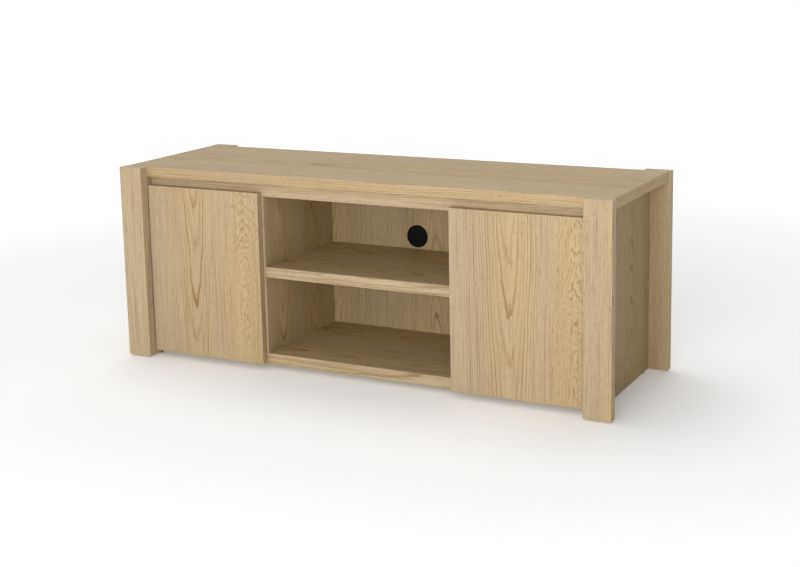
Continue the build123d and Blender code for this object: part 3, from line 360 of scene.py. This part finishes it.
def clear_silicone():
    """Cloudy clear rubber of the door bumpers."""
    g = new_material("clear_silicone")
    where = g.node("ShaderNodeTexCoord").outputs["Object"]
    cloud = g.noise(where, SILICONE_CLOUD_SCALE, 3.0)
    pale = linear(226, 222, 212)
    grey = linear(196, 192, 182)
    g.feed(g.shader.inputs["Base Color"], g.mix(cloud, grey, pale))
    g.feed(g.shader.inputs["Roughness"], g.remap(cloud, 0.3, 0.7, 0.22, 0.36))
    g.fix("Subsurface Weight", SILICONE_SCATTER)
    g.fix("Subsurface Radius", SILICONE_SCATTER_RADIUS)
    g.bump(cloud, 0.1, 0.05 * MM)
    return g.owner


def plain_beech():
    """Beech of the dowels: warm, with short dark flecks."""
    g = new_material("plain_beech")
    axes = g.object_axes()
    fleck = g.noise(g.scaled(axes, BEECH_PULLS), FLECK_SCALE, 3.0, 0.7)
    colour = g.mix(g.remap(fleck, 0.35, 0.7), linear(214, 176, 132), linear(176, 132, 90))
    g.feed(g.shader.inputs["Base Color"], colour)
    g.feed(g.shader.inputs["Roughness"], g.remap(fleck, 0.3, 0.7, 0.6, 0.75))
    g.bump(fleck, 0.2, 0.1 * MM)
    return g.owner


# ------------------------------------------------------------------ finishes of all the nodes
BOARD_VENEERS = {
    # node: (grain axis, axis across the face, leaves across it, seed, painted shade tint where the board
    # has one)
    "top_panel": (
        "X",
        "Y",
        [
            Leaf(0.36, 1.9, 60, 14, 3.8, 2),
            Leaf(0.70, 0.5, 40, -24, 4.6, 3),
            Leaf(1.0, -1.2, 60, 20, 4, 2),
        ],
        3,
        # painted light: the top is tinted warmer, 5 percent less green and 16 percent less blue, for the
        # colour of the light falling on it
        (1.0, 0.95, 0.84),
    ),
    "bottom_panel": ("X", "Y", [Leaf(0.5, 0.4, 34, 50, 7.5, 5), Leaf(1.0, 0.6, 30, -58, 7, 5)], 11),
    "center_shelf": ("X", "Y", [Leaf(0.55, 0.5, 30, 60, 7.5, 5), Leaf(1.0, 0.5, 30, -64, 7, 5)], 17),
    "front_rail": ("X", "Z", [Leaf(1.0, 2.2, 60, 14, 3.6, 2)], 23),
    "rear_rail": ("X", "Z", [Leaf(1.0, -1.4, 50, -16, 3.6, 2)], 29),
    "leg_front_left": ("Z", "X", [Leaf(1.0, 2.4, 60, 22, 3.4, 2)], 31),
    "leg_front_right": ("Z", "X", [Leaf(1.0, 1.55, 46, 34, 3.6, 2.5)], 37),
    "leg_rear_left": ("Z", "X", [Leaf(1.0, 1.4, 36, 30, 3.6, 2)], 41),
    "leg_rear_right": ("Z", "X", [Leaf(1.0, -0.6, 36, -30, 3.8, 2)], 43),
    "side_panel_left": ("Z", "Y", [Leaf(0.5, 0.5, 30, 40, 4, 3), Leaf(1.0, 0.4, 36, -40, 4, 3)], 47),
    "side_panel_right": (
        "Z",
        "Y",
        [Leaf(0.42, 0.6, 36, 80, 6, 3), Leaf(1.0, 0.45, 30, 90, 6, 4)],
        53,
        # painted shade: the right side panel is darkened by 20, 24 and 32 percent in red, green and blue
        # for the shade on that end; the left side panel has none
        (0.80, 0.76, 0.68),
    ),
    "partition_left": ("Z", "Y", [Leaf(0.5, 0.5, 30, -70, 5, 3), Leaf(1.0, 0.4, 36, 70, 5, 3)], 59),
    "partition_right": ("Z", "Y", [Leaf(0.5, 0.5, 30, 40, 4, 3), Leaf(1.0, 0.6, 36, -40, 4, 3)], 61),
    "back_panel": (
        "Z",
        "X",
        [
            Leaf(0.2, 0.5, 30, 70, 5, 3),
            Leaf(0.46, 0.3, 36, -66, 5.6, 3),
            Leaf(0.62, 0.5, 32, 84, 5.4, 3),
            Leaf(0.8, 0.5, 30, 70, 5, 3),
            Leaf(1.0, 0.4, 34, 66, 5, 3),
        ],
        67,
    ),
    "loose_shelf_left": ("X", "Y", [Leaf(0.5, 0.4, 30, 40, 4, 3), Leaf(1.0, 0.5, 36, -40, 4, 3)], 71),
    "loose_shelf_right": ("X", "Y", [Leaf(0.5, 0.6, 30, -40, 4, 3), Leaf(1.0, 0.4, 36, 40, 4, 3)], 73),
    "door_left": ("Z", "X", [Leaf(0.56, 0.69, 46, -44, 4.6, 2.5), Leaf(1.0, 0.66, 34, 120, 2.6, 7)], 79),
    "door_right": ("Z", "X", [Leaf(0.66, 0.63, 46, -42, 5.0, 2.5), Leaf(1.0, 0.70, 30, 90, 2.6, 8)], 83),
}

port_black = moulded_plastic(
    "port_black", linear(9, 9, 12), linear(15, 15, 19), (0.42, 0.58), 2600.0
)
glide_black = moulded_plastic(
    "glide_black", linear(24, 23, 22), linear(36, 35, 33), (0.42, 0.60), 1800.0
)
nickel = plated_metal(
    "nickel", linear(196, 192, 184), linear(222, 218, 210), (0.16, 0.30), "Y", 0.06
)
zinc = plated_metal("zinc", linear(176, 180, 184), linear(212, 214, 216), (0.22, 0.38), "X", 0.1)
cast_zinc = plated_metal(
    "cast_zinc", linear(140, 140, 138), linear(170, 170, 168), (0.38, 0.55), "Z", 1.0
)
silicone = clear_silicone()
beech = plain_beech()

SLOT_FINISHES = {
    "port_plastic": port_black,
    "black_plastic": glide_black,
    "nickel_steel": nickel,
    "zinc_steel": zinc,
    "cast_zinc": cast_zinc,
    "clear_bumper": silicone,
    "beech_dowel": beech,
}


def paint(thing, material):
    """Give the whole piece one material."""
    thing.data.materials.clear()
    thing.data.materials.append(material)


slot_of = {part["node"]: part["material_slot"] for part in frame["record"]["subparts"]}
for name, thing in NODES.items():
    if name in BOARD_VENEERS:
        paint(thing, oak(name, *BOARD_VENEERS[name]))
    else:
        paint(thing, SLOT_FINISHES[slot_of[name]])

# ------------------------------------------------------------------ floor, light and camera
WHITE = (1, 1, 1, 1)
FLOOR_HALF = 40.0
FLOOR_WHITE = (0.92, 0.92, 0.92, 1)
FLOOR_ROUGHNESS = 0.9
FLOOR_SPECULAR = 0.1

# distance or place where a ramp starts and ends (m), and its value at each end
FLOOR_GLOW = (0.7, 3.5, 0.15, 0.62)
FLOOR_SHADE = (0.9, 3.2, 1.0, 0.55)

# direction where a ramp starts and ends, and the strength at each end
SKY_ASIDE = (-0.1, 0.3, 1.0, 0.05)
SKY_BEHIND = (-0.2, 0.5, 0.42, 1.15)
SKY_HORIZON = (0.08, 0.22, 0.95, 0.0)

# name, place and target (m), size of the soft box (m) and power (W)
LIGHTS = (
    ("key", (1.3, -3.7, 2.05), (0, 0, 0.25), 3.0, 68),
    ("front_fill", (1.1, -5.0, 0.85), (0, 0, 0.25), 1.6, 54),
    ("left_fill", (-2.2, -4.0, 1.1), (0, 0, 0.2), 2.4, 14),
    ("overhead", (0.0, 0.2, 3.4), (0, 0, 0.4), 2.8, 34),
)

# where the camera stands (m), how it is turned (degrees), and its lens and sensor (mm)
CAMERA_PLACE = (1.4873, -2.7665, 0.9532)
CAMERA_PITCH = -10.488
CAMERA_ROLL = 1.186
CAMERA_YAW = 27.781
CAMERA_LENS = 63.54
CAMERA_SENSOR = 36
CAMERA_SHIFT = -0.10
CAMERA_REACH = 100


def studio_floor():
    """A pale matt floor that reaches past the view."""
    corners = [(x * FLOOR_HALF, y * FLOOR_HALF, 0) for x, y in ((-1, -1), (1, -1), (1, 1), (-1, 1))]
    mesh = bpy.data.meshes.new("studio_floor")
    mesh.from_pydata(corners, [], [(0, 1, 2, 3)])
    floor = bpy.data.objects.new("studio_floor", mesh)
    bpy.context.scene.collection.objects.link(floor)
    g = new_material("studio_floor")
    # the far floor glows like a lit studio sweep, less to the right, where the end is in shade
    where = g.node("ShaderNodeTexCoord").outputs["Object"]
    distance = g.node("ShaderNodeVectorMath", {0: where}, operation="LENGTH").outputs["Value"]
    glow = g.remap(distance, *FLOOR_GLOW)
    shade = g.remap(g.object_axes()[0], *FLOOR_SHADE)
    g.feed(g.shader.inputs["Emission Strength"], g.math("MULTIPLY", glow, shade))
    g.fix("Emission Color", WHITE)
    g.fix("Base Color", FLOOR_WHITE)
    g.fix("Roughness", FLOOR_ROUGHNESS)
    g.fix("Specular IOR Level", FLOOR_SPECULAR)
    mesh.materials.append(g.owner)


def area_light(name, place, target, size, power):
    """A square soft box that faces a point."""
    light = bpy.data.lights.new(name, "AREA")
    light.size = size
    light.energy = power
    lamp = bpy.data.objects.new(name, light)
    lamp.location = place
    lamp.rotation_euler = (Vector(target) - Vector(place)).to_track_quat("-Z", "Y").to_euler()
    bpy.context.scene.collection.objects.link(lamp)


def studio_world():
    """White behind the cabinet and all along the horizon, dim above its right end, which is in shade."""
    g = Graph(bpy.data.worlds.new("studio"), "Background")
    where = g.node("ShaderNodeTexCoord").outputs["Generated"]
    x, y, z = g.node("ShaderNodeSeparateXYZ", {"Vector": where}).outputs
    sky = g.math("MULTIPLY", g.remap(x, *SKY_ASIDE), g.remap(y, *SKY_BEHIND))
    strength = g.math("MAXIMUM", sky, g.remap(z, *SKY_HORIZON))
    g.fix("Color", WHITE)
    g.feed(g.shader.inputs["Strength"], strength)
    bpy.context.scene.world = g.owner


def studio_camera():
    """The camera, turned about the upright, then pitched and rolled."""
    data = bpy.data.cameras.new("camera")
    data.lens = CAMERA_LENS
    data.sensor_width = CAMERA_SENSOR
    data.shift_y = CAMERA_SHIFT
    data.clip_end = CAMERA_REACH
    camera = bpy.data.objects.new("camera", data)
    turn = Matrix.Rotation(math.radians(CAMERA_YAW), 4, "Z")
    turn = turn @ Matrix.Rotation(math.radians(CAMERA_PITCH), 4, "X")
    turn = turn @ Matrix.Rotation(math.radians(CAMERA_ROLL), 4, "Y")
    turn = turn @ Matrix.Rotation(math.radians(90), 4, "X")
    camera.matrix_world = Matrix.Translation(CAMERA_PLACE) @ turn
    bpy.context.scene.collection.objects.link(camera)
    bpy.context.scene.camera = camera


studio_floor()
studio_world()
bpy.context.scene.view_settings.view_transform = "Standard"
for light in LIGHTS:
    area_light(*light)
studio_camera()
